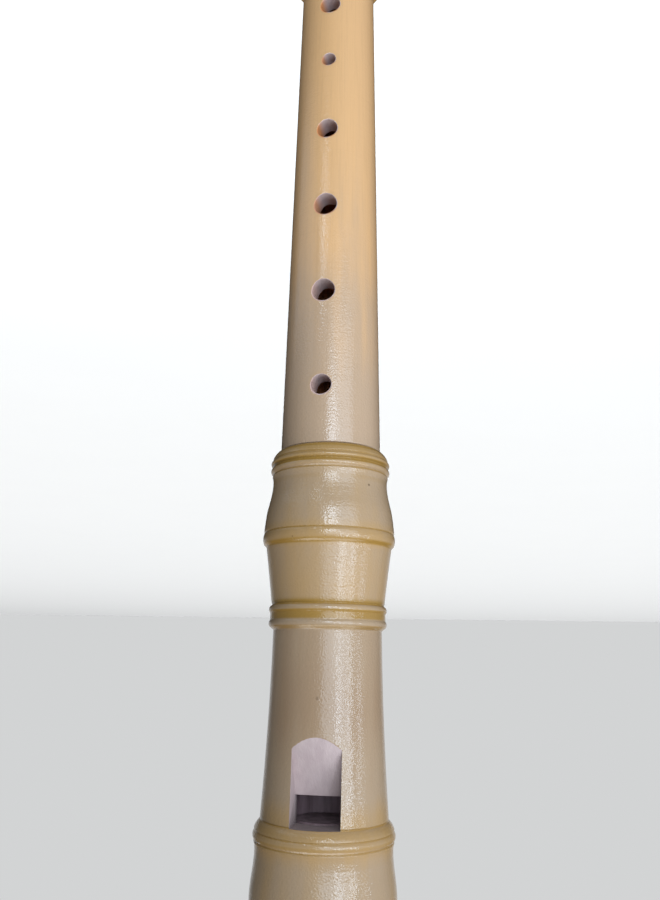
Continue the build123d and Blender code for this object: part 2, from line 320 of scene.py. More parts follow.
class Finish:
    """The nodes of a new material, or of a world."""

    def __init__(self, name, world=False):
        self.material = bpy.data.worlds.new(name) if world else bpy.data.materials.new(name)
        self.material.use_nodes = True
        self.tree = self.material.node_tree
        self.surface = self.tree.nodes["Background" if world else "Principled BSDF"]

    def add(self, kind, settings=None, values=None, output=0):
        """Adds a node: its settings first, then the values or links of its sockets."""
        node = self.tree.nodes.new(kind)
        for name, setting in (settings or {}).items():
            setattr(node, name, setting)
        for name, value in (values or {}).items():
            self._feed(node.inputs[name], value)
        return Link(self, node.outputs[output])

    def _feed(self, socket, value):
        """Links a socket to a link, or gives it a value, opaque where it is a colour."""
        if isinstance(value, Link):
            self.tree.links.new(value.socket, socket)
        elif socket.type == "RGBA":
            socket.default_value = (*value, 1)
        else:
            socket.default_value = value

    def set(self, **values):
        """Sets or feeds the surface shader's sockets, underscores standing for spaces."""
        for name, value in values.items():
            self._feed(self.surface.inputs[name.replace("_", " ")], value)

    def place(self, stretch):
        """Object coordinates in millimetres, stretched along each axis."""
        here = self.add("ShaderNodeTexCoord", output="Object")
        scale = [factor / MM for factor in stretch]
        return self.add("ShaderNodeVectorMath", {"operation": "MULTIPLY"}, {0: here, 1: scale})

    def cloud(self, stretch, detail=2.0, roughness=0.5, shift=0.0):
        """Soft noise, in cycles per millimetre along each axis."""
        return self.add(
            "ShaderNodeTexNoise", {"noise_dimensions": "4D"},
            {"Vector": self.place(stretch), "W": shift, "Scale": 1.0,
             "Detail": detail, "Roughness": roughness},
        )

    def ease(self, value, low, high):
        """0 below low, 1 above high, smooth between."""
        return self.add(
            "ShaderNodeMapRange", {"interpolation_type": "SMOOTHSTEP"},
            {"Value": value, "From Min": low, "From Max": high, "To Min": 0.0, "To Max": 1.0},
        )

    def mix(self, amount, first, second):
        """Mixes two colours, the first at 0 and the second at 1."""
        return self.add(
            "ShaderNodeMix", {"data_type": "RGBA", "clamp_factor": True},
            {0: amount, 6: first, 7: second}, output=2,
        )

    def spot(self, place, radius):
        """1 within a small distance of a place in millimetres, 0 farther off."""
        here = self.place((1, 1, 1))
        apart = self.add(
            "ShaderNodeVectorMath", {"operation": "DISTANCE"}, {0: here, 1: place}, output="Value")
        return 1 - self.ease(apart, radius * 0.5, radius * 1.2)

    def painted(self, name):
        """A value stored on the mesh."""
        return self.add("ShaderNodeAttribute", {"attribute_name": name}, output="Fac")

    def bump(self, height, distance):
        """Feeds the surface's Normal with a bump, where a height of 1 stands for the distance."""
        raised = self.add(
            "ShaderNodeBump", {}, {"Strength": 1.0, "Distance": distance, "Height": height})
        self.set(Normal=raised)


FULL_POOL = 0.15                   # millimetres of gathered varnish that show its whole colour


def varnished_wood(name, look, pale, golden, shift, specks=()):
    """Pale turned maple under golden varnish, darker where the varnish has gathered."""
    finish = Finish(name)
    fibre = finish.cloud((2.2, 2.2, 0.05), detail=4.0, roughness=0.6, shift=shift)
    fleck = finish.cloud((5.0, 5.0, 0.7), shift=shift + 3)
    drift = finish.cloud((0.22, 0.22, 0.03), detail=3.0, roughness=0.55, shift=shift + 7)
    turning = finish.cloud((0.04, 0.04, 2.6), detail=3.0, roughness=0.7, shift=shift + 11)
    pool = finish.painted("pool")
    tone = finish.painted("tone")
    gold = tone + (drift - 0.5) * 1.1
    wood = finish.mix(finish.ease(gold, 0.0, 1.0), pale, golden)
    wood = finish.mix(finish.ease(0 - gold, 0.0, 1.0), wood, look.dusk_colour)
    for pattern, low, high, strength in (
            (fibre, 0.45, 0.75, 0.16), (fleck, 0.62, 0.8, 0.15), (turning, 0.5, 0.8, 0.06)):
        wood = finish.mix(finish.ease(pattern, low, high) * strength, wood, look.grain_colour)
    gathering = finish.ease(pool + (turning - 0.5) * 0.05, 0.01, FULL_POOL)
    wood = finish.mix(gathering * 0.9, wood, look.pool_colour)
    wood = finish.mix(finish.painted("rim") * 0.35, wood, look.rim_colour)
    for place, radius, strength in specks:
        wood = finish.mix(finish.spot(place, radius) * strength, wood, look.speck_colour)
    ripple = finish.cloud((0.14, 0.14, 1.1), shift=shift + 17)
    peel = finish.cloud((2.4, 2.4, 2.4), detail=1.0, shift=shift + 23)
    duller = finish.ease(drift, 0.3, 0.7) * 0.08
    finish.set(Base_Color=wood, Roughness=duller + look.gloss_roughness, IOR=1.5)
    finish.bump(peel + ripple * look.ripple_share + turning * 0.1, look.peel_height)
    return finish.material


BARE_RELIEF = 0.08 * MM            # height of the fibres on wood that has no varnish
CORK_RELIEF = 0.1 * MM             # depth of the pores


def bare_wood(name, colour, deep, shift, shade_light_and_oil=None):
    """Cut or bored maple that has no varnish, mixed towards a second colour where a stored value asks:
    painted shade at the head's window top and windway, oil colour with painted light on the finger
    holes' walls.
    """
    finish = Finish(name)
    fibre = finish.cloud((3.0, 3.0, 0.12), detail=4.0, roughness=0.65, shift=shift)
    cloud = finish.cloud((0.5, 0.5, 0.06), detail=3.0, roughness=0.6, shift=shift + 5)
    wood = finish.mix(finish.ease(cloud, 0.35, 0.7), colour, deep)
    wood = finish.mix(finish.ease(fibre, 0.45, 0.7) * 0.3, wood, deep)
    # Painted shade on the head's window top and windway, oil colour with painted light on the finger
    # holes' walls.
    if shade_light_and_oil is not None:
        wood = finish.mix(finish.painted("shade_light_and_oil"), wood, shade_light_and_oil)
    finish.set(Base_Color=wood, Roughness=0.62)
    finish.bump(fibre, BARE_RELIEF)
    return finish.material


def cork(name, look):
    """Cork sheet with dark pores and pale grains."""
    finish = Finish(name)
    grain = finish.add(
        "ShaderNodeTexVoronoi", {"feature": "F1"},
        {"Vector": finish.place((1, 1, 1)), "Scale": 0.9, "Randomness": 1.0}, output="Color",
    )
    tone = finish.add("ShaderNodeSeparateColor", {}, {0: grain}, output="Red")
    pore = finish.cloud((1.6, 1.6, 1.6), detail=3.0, roughness=0.6, shift=31)
    colour = finish.mix(tone, look.cork_colour, look.cork_deep)
    colour = finish.mix(finish.ease(pore, 0.58, 0.68), colour, look.pore_colour)
    finish.set(Base_Color=colour, Roughness=0.8)
    finish.bump(finish.ease(pore, 0.7, 0.5) + tone * 0.3, CORK_RELIEF)
    return finish.material


# Properties

class RecorderWoodwork(bpy.types.PropertyGroup):
    """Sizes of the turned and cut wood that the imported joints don't state by themselves."""

    columns: bpy.props.IntProperty(
        name="Columns", description="Facets round each turned joint", default=288, min=32)
    wobble: bpy.props.FloatProperty(
        name="Wobble", description="Height of the hand-sanded unevenness", default=0.012 * MM,
        subtype="DISTANCE", unit="LENGTH", precision=6)
    varnish_ease: bpy.props.FloatProperty(
        name="Varnish ease", description="How far varnish softens a corner", default=0.05 * MM,
        subtype="DISTANCE", unit="LENGTH", precision=6)
    blowing_edge: bpy.props.FloatProperty(
        name="Blowing edge", description="Height of the blowing edge above the head's socket end",
        default=73.6 * MM, subtype="DISTANCE", unit="LENGTH")
    cut_up: bpy.props.FloatProperty(
        name="Cut-up", description="From the blowing edge to the windway", default=5.5 * MM,
        subtype="DISTANCE", unit="LENGTH")
    window_width: bpy.props.FloatProperty(
        name="Window width", description="Between the window's side walls", default=10.3 * MM,
        subtype="DISTANCE", unit="LENGTH")
    window_floor: bpy.props.FloatProperty(
        name="Window floor", description="From the axis to where the window's side walls end",
        default=4.24 * MM, subtype="DISTANCE", unit="LENGTH")
    edge_radius: bpy.props.FloatProperty(
        name="Edge radius", description="From the axis to the blowing edge", default=7.0 * MM,
        subtype="DISTANCE", unit="LENGTH")
    edge_arch: bpy.props.FloatProperty(
        name="Edge arch", description="How much lower the blowing edge is at its ends",
        default=0.3 * MM, subtype="DISTANCE", unit="LENGTH")
    ramp_slope: bpy.props.FloatProperty(
        name="Ramp slope", description="Rise of the ramp over its length", default=0.482)
    ramp_hollow: bpy.props.FloatProperty(
        name="Ramp hollow",
        description="How much deeper the ramp is in the middle where it leaves the wood",
        default=0.55 * MM, subtype="DISTANCE", unit="LENGTH")
    windway_roof: bpy.props.FloatProperty(
        name="Windway roof", description="From the axis to the windway's roof", default=7.9 * MM,
        subtype="DISTANCE", unit="LENGTH")
    beak_cut_length: bpy.props.FloatProperty(
        name="Beak cut length", description="Height of the hollow behind the mouthpiece",
        default=29.0 * MM, subtype="DISTANCE", unit="LENGTH")
    beak_cut_depth: bpy.props.FloatProperty(
        name="Beak cut depth", description="How hollow the beak is cut", default=3.5 * MM,
        subtype="DISTANCE", unit="LENGTH")
    beak_lip: bpy.props.FloatProperty(
        name="Beak lip", description="Lip's back edge, forward of the axis", default=2.4 * MM,
        subtype="DISTANCE", unit="LENGTH")
    rim: bpy.props.FloatProperty(
        name="Rim", description="Rounding of the tone holes' edges", default=0.22 * MM,
        subtype="DISTANCE", unit="LENGTH", precision=5)


class RecorderFinish(bpy.types.PropertyGroup):
    """Colours and gloss."""

    body_colour: bpy.props.FloatVectorProperty(
        name="Body", description="Varnished maple of the body", default=(0.395, 0.275, 0.18),
        subtype="COLOR", min=0, max=1)
    body_deep: bpy.props.FloatVectorProperty(
        name="Body, warmer", description="The body's wood towards the foot",
        default=(0.57, 0.335, 0.155), subtype="COLOR", min=0, max=1)
    head_colour: bpy.props.FloatVectorProperty(
        name="Head", description="Varnished maple of the head", default=(0.335, 0.237, 0.15),
        subtype="COLOR", min=0, max=1)
    head_deep: bpy.props.FloatVectorProperty(
        name="Head, golden", description="Where the head's varnish is thicker",
        default=(0.37, 0.23, 0.10), subtype="COLOR", min=0, max=1)
    grain_colour: bpy.props.FloatVectorProperty(
        name="Grain", description="Fine fibres and flecks", default=(0.30, 0.19, 0.09),
        subtype="COLOR", min=0, max=1)
    dusk_colour: bpy.props.FloatVectorProperty(
        name="Head, duller", description="Duller varnish where hands hold the head",
        default=(0.285, 0.185, 0.11), subtype="COLOR", min=0, max=1)
    speck_colour: bpy.props.FloatVectorProperty(
        name="Specks", description="Small marks in the varnish", default=(0.07, 0.035, 0.015),
        subtype="COLOR", min=0, max=1)
    # Painted shade: the dark colour of the bare wood at the window's top end face and in the windway,
    # where they lie in shade.
    window_shade_colour: bpy.props.FloatVectorProperty(
        name="Stain", description="Bare maple stained by breath", default=(0.14, 0.105, 0.10),
        subtype="COLOR", min=0, max=1)
    # Oiled wood with painted light: the colour on one side of each finger hole's wall, where light
    # coming in through the hole falls.
    oil_and_light_colour: bpy.props.FloatVectorProperty(
        name="Oil", description="Bore oil soaked into the hole walls", default=(0.50, 0.20, 0.07),
        subtype="COLOR", min=0, max=1)
    head_bore_colour: bpy.props.FloatVectorProperty(
        name="Head bore", description="Bare wood inside the head", default=(0.29, 0.20, 0.215),
        subtype="COLOR", min=0, max=1)
    head_bore_deep: bpy.props.FloatVectorProperty(
        name="Head bore, darker", description="Damp stains inside the head",
        default=(0.15, 0.095, 0.105), subtype="COLOR", min=0, max=1)
    pool_colour: bpy.props.FloatVectorProperty(
        name="Gathered varnish", description="Varnish in the grooves", default=(0.28, 0.155, 0.028),
        subtype="COLOR", min=0, max=1)
    rim_colour: bpy.props.FloatVectorProperty(
        name="Rims", description="Wood at the edges of holes", default=(0.45, 0.28, 0.14),
        subtype="COLOR", min=0, max=1)
    bare_colour: bpy.props.FloatVectorProperty(
        name="Bare maple", description="Unvarnished cuts", default=(0.46, 0.36, 0.345),
        subtype="COLOR", min=0, max=1)
    bare_deep: bpy.props.FloatVectorProperty(
        name="Bare maple, darker", description="Stained parts of the cuts",
        default=(0.40, 0.305, 0.295), subtype="COLOR", min=0, max=1)
    bore_colour: bpy.props.FloatVectorProperty(
        name="Bore", description="Oiled wood inside the bore", default=(0.62, 0.27, 0.11),
        subtype="COLOR", min=0, max=1)
    bore_deep: bpy.props.FloatVectorProperty(
        name="Bore, darker", description="Darker oiled wood", default=(0.34, 0.13, 0.05),
        subtype="COLOR", min=0, max=1)
    cedar_colour: bpy.props.FloatVectorProperty(
        name="Cedar", description="The block", default=(0.22, 0.15, 0.16),
        subtype="COLOR", min=0, max=1)
    cedar_deep: bpy.props.FloatVectorProperty(
        name="Cedar, darker", description="Late wood of the block", default=(0.11, 0.07, 0.07),
        subtype="COLOR", min=0, max=1)
    cork_colour: bpy.props.FloatVectorProperty(
        name="Cork", description="Cork sheet", default=(0.48, 0.29, 0.15),
        subtype="COLOR", min=0, max=1)
    cork_deep: bpy.props.FloatVectorProperty(
        name="Cork, darker", description="Darker grains of the cork", default=(0.34, 0.19, 0.09),
        subtype="COLOR", min=0, max=1)
    pore_colour: bpy.props.FloatVectorProperty(
        name="Cork pores", description="Pores in the cork", default=(0.10, 0.05, 0.025),
        subtype="COLOR", min=0, max=1)
    gloss_roughness: bpy.props.FloatProperty(
        name="Gloss roughness", description="Roughness of the varnish", default=0.12, min=0, max=1)
    peel_height: bpy.props.FloatProperty(
        name="Peel", description="Height of the fine unevenness in the varnish", default=0.07 * MM,
        subtype="DISTANCE", unit="LENGTH", precision=6)
    ripple_share: bpy.props.FloatProperty(
        name="Ripple", description="Height of the turning ripples, against the fine unevenness",
        default=0.5, min=0)


class RecorderStage(bpy.types.PropertyGroup):
    """Camera, lights and floor."""

    distance: bpy.props.FloatProperty(
        name="Distance", description="Camera to the axis", default=183 * MM,
        subtype="DISTANCE", unit="LENGTH")
    height: bpy.props.FloatProperty(
        name="Height", description="Height of the camera", default=250.5 * MM,
        subtype="DISTANCE", unit="LENGTH")
    azimuth: bpy.props.FloatProperty(
        name="Azimuth", description="How far the camera stands towards -X",
        default=math.radians(8.6), subtype="ANGLE")
    tilt: bpy.props.FloatProperty(
        name="Tilt", description="Turn of the view towards the foot",
        default=math.radians(14.18), subtype="ANGLE")
    roll: bpy.props.FloatProperty(
        name="Roll", description="Turn of the picture", default=math.radians(1.0), subtype="ANGLE")
    swing: bpy.props.FloatProperty(
        name="Swing", description="Turn of the view to the right of the axis",
        default=math.radians(-0.05), subtype="ANGLE")
    lens: bpy.props.FloatProperty(
        name="Lens", description="Focal length", default=32.0,
        subtype="DISTANCE_CAMERA", unit="CAMERA")
    sky: bpy.props.FloatProperty(
        name="Sky", description="Light from every side", default=0.05, min=0)
    horizon: bpy.props.FloatProperty(
        name="Horizon", description="Light added low down all round", default=0.10, min=0)
    side: bpy.props.FloatProperty(
        name="Side", description="Wide light added from one side", default=0.6, min=0)
    side_turn: bpy.props.FloatProperty(
        name="Side turn", description="How far right of the camera the wide light is",
        default=math.radians(48), subtype="ANGLE")
    backdrop: bpy.props.FloatProperty(
        name="Backdrop", description="Light added low down behind the recorder",
        default=0.51, min=0)
    overhead: bpy.props.FloatProperty(
        name="Overhead", description="Light from above", default=3.8, min=0)
    lamp_colour: bpy.props.FloatVectorProperty(
        name="Lamps", description="Colour of the lights", default=(0.74, 0.86, 1.0),
        subtype="COLOR", min=0, max=1)


# Operators

def settings():
    """The sizes, the finishes and the stage that are set in the scene."""
    scene = bpy.context.scene
    return scene.recorder_woodwork, scene.recorder_finish, scene.recorder_stage


def unevenness(height_of, seed):
    """Slow swells of a hand-sanded turning, with finer ones on them."""
    def waves(turn, height, across, along, shift):
        """Noise with so much change round the piece, and one wave in so many millimetres up it."""
        place = Vector((math.cos(turn) * across, math.sin(turn) * across, height / MM / along))
        return noise.noise(place + shift)

    def swell(turn, height):
        slow = waves(turn, height, 1.3, 7, Vector((seed, 0, 0)))
        fine = waves(turn, height, 2.5, 1.1, Vector((0, seed, 0)))
        return height_of * (slow + 0.35 * fine)

    return swell


def store(mesh, name, values):
    """Stores a value on each point of a mesh, for its material."""
    layer = mesh.attributes.new(name, "FLOAT", "POINT")
    layer.data.foreach_set("value", values)


def look_up(table, height):
    """The value of an evenly spaced table at a height."""
    first = table[0][0]
    step = table[1][0] - first
    place = min(max((height - first) / step, 0), len(table) - 1.001)
    index = int(place)
    share = place - index
    return table[index][1] * (1 - share) + table[index + 1][1] * share


def turned_joint(name, node, wood, bore, seed):
    """A joint turned from its node's outlines, and the depth of its grooves by height."""
    work, _, _ = settings()
    step = 0.02 * MM
    tolerance = 0.003 * MM
    longest_outside = 0.45 * MM    # short enough for the varnish to change up the joint
    longest_inside = 4 * MM
    reach = 0.9 * MM               # varnish gathers in a groove up to twice as wide
    outside = eased(measured_outline(node, False, step), work.varnish_ease)
    inside = measured_outline(node, True, 4 * step)
    mesh = turned_mesh(
        name, thinned(outside, tolerance, longest_outside), thinned(inside, tolerance, longest_inside),
        work.columns, unevenness(work.wobble, seed),
    )
    return placed(name, mesh, [wood, bore]), pooled_depth(outside, reach)


def between(stops, height):
    """A value that changes smoothly between (height in millimetres, value) stops."""
    height = height / MM
    if height <= stops[0][0]:
        return stops[0][1]
    for (low, first), (high, second) in zip(stops, stops[1:]):
        if height <= high:
            share = (height - low) / (high - low)
            return first + (second - first) * share * share * (3 - 2 * share)
    return stops[-1][1]


def gathered(grooves, pools, height):
    """Thickness of gathered varnish at a height, in millimetres."""
    fade = 0.3
    depth = look_up(grooves, height) / MM
    for low, high, amount in pools:
        outside = max(low - height / MM, height / MM - high, 0)
        depth = max(depth, amount * FULL_POOL * max(0.0, 1 - outside / fade))
    return depth


def finish_joint(piece, node, body, grooves, tones, rims, shade_light_and_oil_at=lambda place: 0.0, pools=()):
    """Stores what the finish of a joint needs, sharpens its edges and seats it on its body."""
    rim_reach = 1.2 * MM
    sharp = math.radians(42)
    mesh = piece.data
    store(mesh, "pool", [gathered(grooves, pools, vertex.co.z) for vertex in mesh.vertices])
    store(mesh, "tone", [between(tones, vertex.co.z) for vertex in mesh.vertices])
    near = []
    for vertex in mesh.vertices:
        closest = 1.0
        for centre, radius in rims:
            closest = min(closest, max(0.0, ((vertex.co - centre).length - radius) / rim_reach))
        near.append(1 - closest)
    store(mesh, "rim", near)
    # The share of the bare wood's second colour: painted shade on the head, oil colour with painted
    # light in the finger holes.
    store(mesh, "shade_light_and_oil", [shade_light_and_oil_at(vertex.co) for vertex in mesh.vertices])
    mesh.set_sharp_from_angle(angle=sharp)
    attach(piece, body)
    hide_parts(node)


# How golden the varnish is: height in millimetres, and 1 for golden, 0 for pale or -1 for dull
HEAD_TONES = (
    (205.4, 0.9), (209.5, 0.6), (213, 0.3), (222, 0.35), (224.5, 0.7), (227.5, 0.8), (229, 0.5),
    (239, 0.6), (243, 0.35), (247, -0.35), (262, -0.6), (276, -0.2), (284, 0.7), (288, 0.75),
    (292, 0.3), (310, 0.4),
)
# Where varnish has gathered round the head's rings: from and to in millimetres, and how much
HEAD_POOLS = (
    (206.0, 208.9, 0.45), (224.4, 227.1, 0.3), (227.1, 227.7, 0.95), (240.1, 240.5, 0.6),
    (241.8, 243.4, 1.0), (245.1, 245.7, 0.65), (285.0, 286.4, 0.35), (287.5, 287.9, 0.5),
)
MIDDLE_TONES = ((120, 1.0), (150, 0.75), (178, 0.25), (195, 0.0))
FOOT_TONES = ((0, 0.8), (10, 0.6), (30, 0.8), (50, 0.6), (60, 0.9))
# Small marks in the head's varnish: place and radius in millimetres, and strength
HEAD_SPECKS = (
    ((-9.9, -8.7, 214.6), 0.32, 0.8), ((0.0, -12.45, 259.7), 0.40, 0.35),
    ((5.9, -13.8, 226.6), 0.20, 0.5), ((-1.5, -15.0, 226.6), 0.20, 0.45),
)
# Distance below the blowing edge, radius, turn round the body, and oil with painted light on the hole
# wall, in millimetres and degrees
TONE_HOLES = (
    (87.4, 2.35, 4.4, 0.25), (110.8, 2.7, 4.4, 0.3), (133.5, 2.75, 4.4, 0.8),
    (154.7, 2.5, 4.4, 1.0), (175.1, 1.7, 4.4, 0.9), (192.2, 2.5, 4.4, 1.0),
    (84.2, 2.7, 184.4, 0.3),
)
# Distance below the foot's top and radius in millimetres, and turn in degrees
FOOT_HOLE = (17, 2.3, -8)
# Lights: degrees right of the camera, distance, height, width, length and radiance
LIGHTS = (
    ("key", 20, 0.50, 0.15, 0.55, 0.40, 3.4),
    ("first lamp", 24, 0.25, 0.28, 0.030, 0.12, 9.5),
    ("second lamp", 45, 0.25, 0.28, 0.026, 0.10, 9.5),
    ("third lamp", 66, 0.25, 0.27, 0.022, 0.06, 9.0),
    ("low lamp", 3, 0.19, 0.165, 0.060, 0.05, 9.0),
    ("lowest lamp", -27, 0.20, 0.035, 0.035, 0.05, 10.0),
    ("fill", -80, 0.22, 0.02, 0.25, 0.14, 0.8),
    ("back", 180, 0.45, 0.60, 0.45, 0.20, 3.0),
)


class RECORDER_OT_turn_head(bpy.types.Operator):
    """Turn the head joint and cut its window, windway and beak"""

    bl_idname = "recorder.turn_head"
    bl_label = "Turn Head Joint"

    def execute(self, context):
        work, look, _ = settings()
        wood = varnished_wood(
            "head varnish", look, look.head_colour, look.head_deep, 0, HEAD_SPECKS)
        # The window's top end face and the windway take painted shade.
        bare = bare_wood("bare maple", look.bare_colour, look.bare_deep, 40, look.window_shade_colour)
        bore = bare_wood("head bore", look.head_bore_colour, look.head_bore_deep, 50)
        piece, grooves = turned_joint("head_wood", "head_joint", wood, bore, 1.0)
        low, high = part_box("head_joint")
        edge = low.z + work.blowing_edge
        top = edge + work.cut_up

        # Painted shade from just below the window's top upwards, at this strength.
        shade_light_and_oil = 0.75
        shade_start = top - 0.2 * MM

        def shaded_window_top(place):
            """Painted shade on the bare wood from just below the window's top upwards, where the
            window's top end face and the windway lie in shade.
            """
            return shade_light_and_oil if place.z > shade_start else 0.0

        cut(piece, windway_cutter(work, top, high.z), bare)
        cut(piece, window_cutter(work, edge, top), bare)
        cut(piece, ramp_cutter(work, edge), bare)
        cut(piece, undercut_cutter(work, edge), bare)
        cut(piece, beak_cutter(work, high.z), wood)
        finish_joint(piece, "head_joint", "head", grooves, HEAD_TONES, [], shaded_window_top, HEAD_POOLS)
        return {"FINISHED"}


def arched_floor(half, middle, end, count=12):
    """(x, depth) points across the window, on an arc with one depth amid and one at both ends."""
    flat = 1e-9
    rise = middle - end
    if abs(rise) < flat:
        return [(-half + 2 * half * i / count, middle) for i in range(count + 1)]
    radius = (half * half + rise * rise) / (2 * rise)
    reach = math.asin(half / radius)
    points = []
    for i in range(count + 1):
        angle = -reach + 2 * reach * i / count
        points.append((radius * math.sin(angle), middle - radius + radius * math.cos(angle)))
    return points


def window_section(floor, outer, height):
    """A section from an arched floor out to a straight line, as 3-D points."""
    points = [(x, -depth, height) for x, depth in floor]
    points.append((floor[-1][0], -outer, height))
    points.append((floor[0][0], -outer, height))
    return points


def window_cutter(work, edge, top):
    """The window, square to the axis, from the blowing edge up to the windway."""
    floor = arched_floor(work.window_width / 2, work.window_floor, work.window_floor)
    return lofted_mesh("window", [window_section(floor, OUTSIDE / 2, z) for z in (edge, top)])


def ramp_cutter(work, edge):
    """The ramp, from the blowing edge down to where it leaves the wood."""
    half = work.window_width / 2
    near = arched_floor(half, work.edge_radius, work.edge_radius - work.edge_arch)
    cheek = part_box("head_joint")[1].x
    far = arched_floor(half, cheek, cheek + work.ramp_hollow)
    overlap = 0.02 * MM
    return lofted_mesh("ramp", [
        window_section(far, OUTSIDE / 2, edge - (cheek - work.edge_radius) / work.ramp_slope),
        window_section(near, OUTSIDE / 2, edge + overlap),
    ])


def undercut_cutter(work, edge):
    """The hollow under the ramp, which leaves the blowing edge thin and fades out into the bore."""
    half = work.window_width / 2
    thickness = 0.2 * MM
    length = 8 * MM
    fade = 0.3 * MM
    overlap = 0.1 * MM
    extra_arch = 0.01 * MM         # thins the middle of the edge a little
    middle = work.edge_radius - thickness
    near = arched_floor(half, middle + extra_arch, middle - work.edge_arch)
    far = arched_floor(half, middle - fade, work.window_floor)

    def section(floor, height):
        return [(x, -depth, height) for x, depth in floor] + [(half, 0, height), (-half, 0, height)]

    return lofted_mesh("undercut", [section(far, edge - length), section(near, edge + overlap)])


def windway_cutter(work, low, high):
    """The slot above the block, with a round roof, from the window out through the head's end."""
    roof_steps = 24
    floor_depth = 2 * MM
    low_overlap = 0.1 * MM
    high_overlap = 1 * MM
    half = work.window_width / 2
    reach = math.asin(half / work.windway_roof)
    outline = []
    for i in range(roof_steps + 1):
        angle = -reach + 2 * reach * i / roof_steps
        outline.append((work.windway_roof * math.sin(angle), -work.windway_roof * math.cos(angle)))
    outline += [(half, -floor_depth), (-half, -floor_depth)]
    ends = (low - low_overlap, high + high_overlap)
    return lofted_mesh("windway", [[(x, y, z) for x, y in outline] for z in ends])


def beak_cutter(work, top):
    """The hollow behind the mouthpiece, as wide as the head."""
    clear = 1.0 * MM
    arc_steps = 48
    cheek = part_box("head_joint")[1].x
    back = Vector((cheek + clear, top - work.beak_cut_length))
    lip = Vector((-work.beak_lip, top))
    chord = (lip - back).normalized()
    across = Vector((-chord.y, chord.x))
    middle = (back + lip) / 2 + across * work.beak_cut_depth
    half = (lip - back).length / 2
    radius = (half * half + work.beak_cut_depth ** 2) / (2 * work.beak_cut_depth)
    centre = middle - across * radius
    start = math.atan2(back.y - centre.y, back.x - centre.x)
    end = math.atan2(lip.y - centre.y, lip.x - centre.x)
    if end > start:
        end -= 2 * math.pi
    curve = arc(centre, radius, start, end, arc_steps)
    outline = curve + [(-work.beak_lip, top + OUTSIDE), (OUTSIDE, top + OUTSIDE), (OUTSIDE, back.y)]
    return lofted_mesh("beak", [[(x, y, z) for y, z in outline] for x in (-OUTSIDE, OUTSIDE)])


def drilled(piece, tree, height, radius, turn, rim, material):
    """Drills a tone hole at a turn round the body and gives its rim, as finish_joint takes it."""
    outside = wall_radius(tree, height, False)
    cut(piece, hole_cutter(height, radius, outside, turn, rim), material)
    return Vector((outside * math.sin(turn), -outside * math.cos(turn), height)), radius


class RECORDER_OT_turn_middle(bpy.types.Operator):
    """Turn the middle joint and drill its finger and thumb holes"""

    bl_idname = "recorder.turn_middle"
    bl_label = "Turn Middle Joint"

    def execute(self, context):
        work, look, _ = settings()
        wood = varnished_wood("body varnish", look, look.body_colour, look.body_deep, 100)
        # The hole walls take oil colour with painted light on one side.
        bare = bare_wood("hole walls", look.bare_colour, look.bare_deep, 60, look.oil_and_light_colour)
        bore = bare_wood("oiled middle bore", look.bore_colour, look.bore_deep, 70)
        piece, grooves = turned_joint("middle_wood", "middle_joint", wood, bore, 2.0)
        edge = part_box("head_joint")[0].z + work.blowing_edge
        tree = walls("middle_joint")
        rims = []
        for distance, radius, turn, _ in TONE_HOLES:
            height = edge - distance * MM
            rims.append(drilled(
                piece, tree, height, radius * MM, math.radians(turn), work.rim, bare))

        def oiled(place):
            """Oil from the bore colours the upper wall of each hole, more at one side, mixed with
            painted light where light coming in through the hole falls.
            """
            for (centre, radius), (_, _, _, oil) in zip(rims, TONE_HOLES):
                away = place - centre
                side = Vector((-centre.y, centre.x, 0)).normalized().dot(away) / radius
                up = away.z / radius
                same_face = centre.x * place.x + centre.y * place.y > 0
                if abs(away.z) < radius * 1.05 and same_face:
                    return oil * min(max(side * 0.9 + up * 1.1 + 0.6, 0.0), 1.0)
            return 0.0

        finish_joint(piece, "middle_joint", "middle", grooves, MIDDLE_TONES, rims, oiled)
        return {"FINISHED"}


class RECORDER_OT_turn_foot(bpy.types.Operator):
    """Turn the foot joint and drill its little finger hole"""

    bl_idname = "recorder.turn_foot"
    bl_label = "Turn Foot Joint"

    def execute(self, context):
        work, look, _ = settings()
        wood = varnished_wood("foot varnish", look, look.body_colour, look.body_deep, 200)
        bare = bare_wood("foot hole wall", look.bare_colour, look.bare_deep, 80)
        bore = bare_wood("oiled foot bore", look.bore_colour, look.bore_deep, 90)
        piece, grooves = turned_joint("foot_wood", "foot_joint", wood, bore, 3.0)
        distance, radius, turn = FOOT_HOLE
        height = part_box("foot_joint")[1].z - distance * MM
        tree = walls("foot_joint")
        rim = drilled(piece, tree, height, radius * MM, math.radians(turn), work.rim, bare)
        finish_joint(piece, "foot_joint", "foot", grooves, FOOT_TONES, [rim])
        return {"FINISHED"}


class RECORDER_OT_cut_block(bpy.types.Operator):
    """Cut the cedar block that makes the windway's floor"""

    bl_idname = "recorder.cut_block"
    bl_label = "Cut Block"

    def execute(self, context):
        work, look, _ = settings()
        cedar = bare_wood("cedar", look.cedar_colour, look.cedar_deep, 120)
        chamfer = 0.6 * MM
        columns = 96
        sharp = math.radians(35)
        low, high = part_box("block")
        radius = high.x
        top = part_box("head_joint")[1].z
        outline = [(radius - chamfer, low.z), (radius, low.z + chamfer), (radius, top)]
        turns = [2 * math.pi * i / columns for i in range(columns)]
        sections = [
            [(reach * math.cos(turn), reach * math.sin(turn), height) for turn in turns]
            for reach, height in outline
        ]
        piece = placed("block_wood", lofted_mesh("block_wood", sections), [cedar])
        cut(piece, beak_cutter(work, top), cedar)
        piece.data.set_sharp_from_angle(angle=sharp)
        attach(piece, "plug")
        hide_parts("block")
        return {"FINISHED"}


